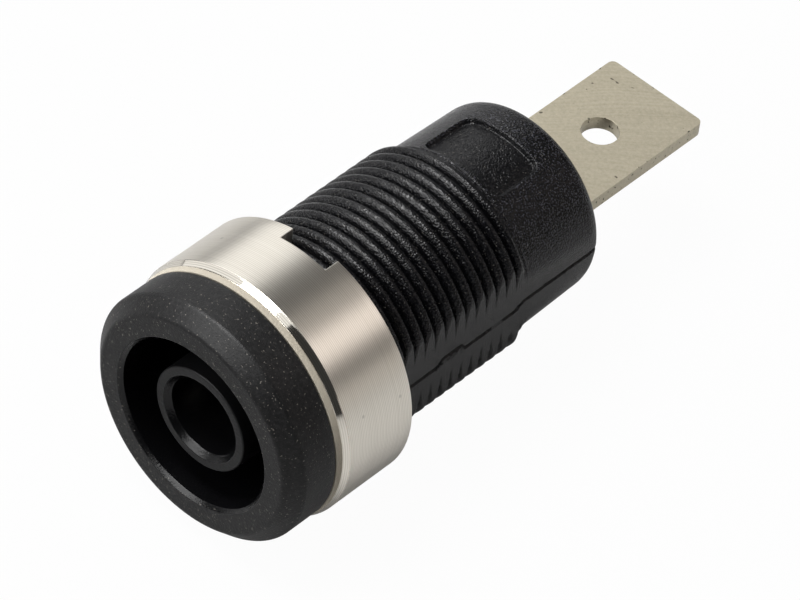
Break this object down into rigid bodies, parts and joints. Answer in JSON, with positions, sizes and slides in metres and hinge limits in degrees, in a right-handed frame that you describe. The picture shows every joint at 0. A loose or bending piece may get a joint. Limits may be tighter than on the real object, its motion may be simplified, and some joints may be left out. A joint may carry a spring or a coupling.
{
  "type": "safety banana socket",
  "caption": "Shrouded 4 mm safety socket for panel mounting: black moulded body with guard tube and threaded neck, slotted metal ring nut behind the head, flat blade tab at the rear.",
  "frame": {"origin": "on the socket's axis, in the plane where the back of the head meets the panel", "axes": "+Y along the axis from the mating face to the tab, +Z out of the tab's flat face on the side of the sunk panel, +X across the tab"},
  "size_m": [0.0144, 0.035, 0.0144],
  "materials": {
    "black_polyamide": "moulded, fine matt texture",
    "nickel_plated_brass": "turned, nickel plated",
    "nickel_plated_strip": "rolled and stamped, nickel plated, scratched",
    "nickel_plated_ring": "turned with fine lathe lines, nickel plated"
  },
  "bodies": {
    "socket": {"insulating_body": "black_polyamide", "contact_socket": "nickel_plated_brass", "flat_tab": "nickel_plated_strip"},
    "ring_nut": {"ring_nut": "nickel_plated_ring"}
  },
  "joints": [
    {"name": "nut_travel", "type": "slide", "parent": "socket", "child": "ring_nut", "axis": [0, 1, 0], "range_m": [0, 0.01]}
  ]
}
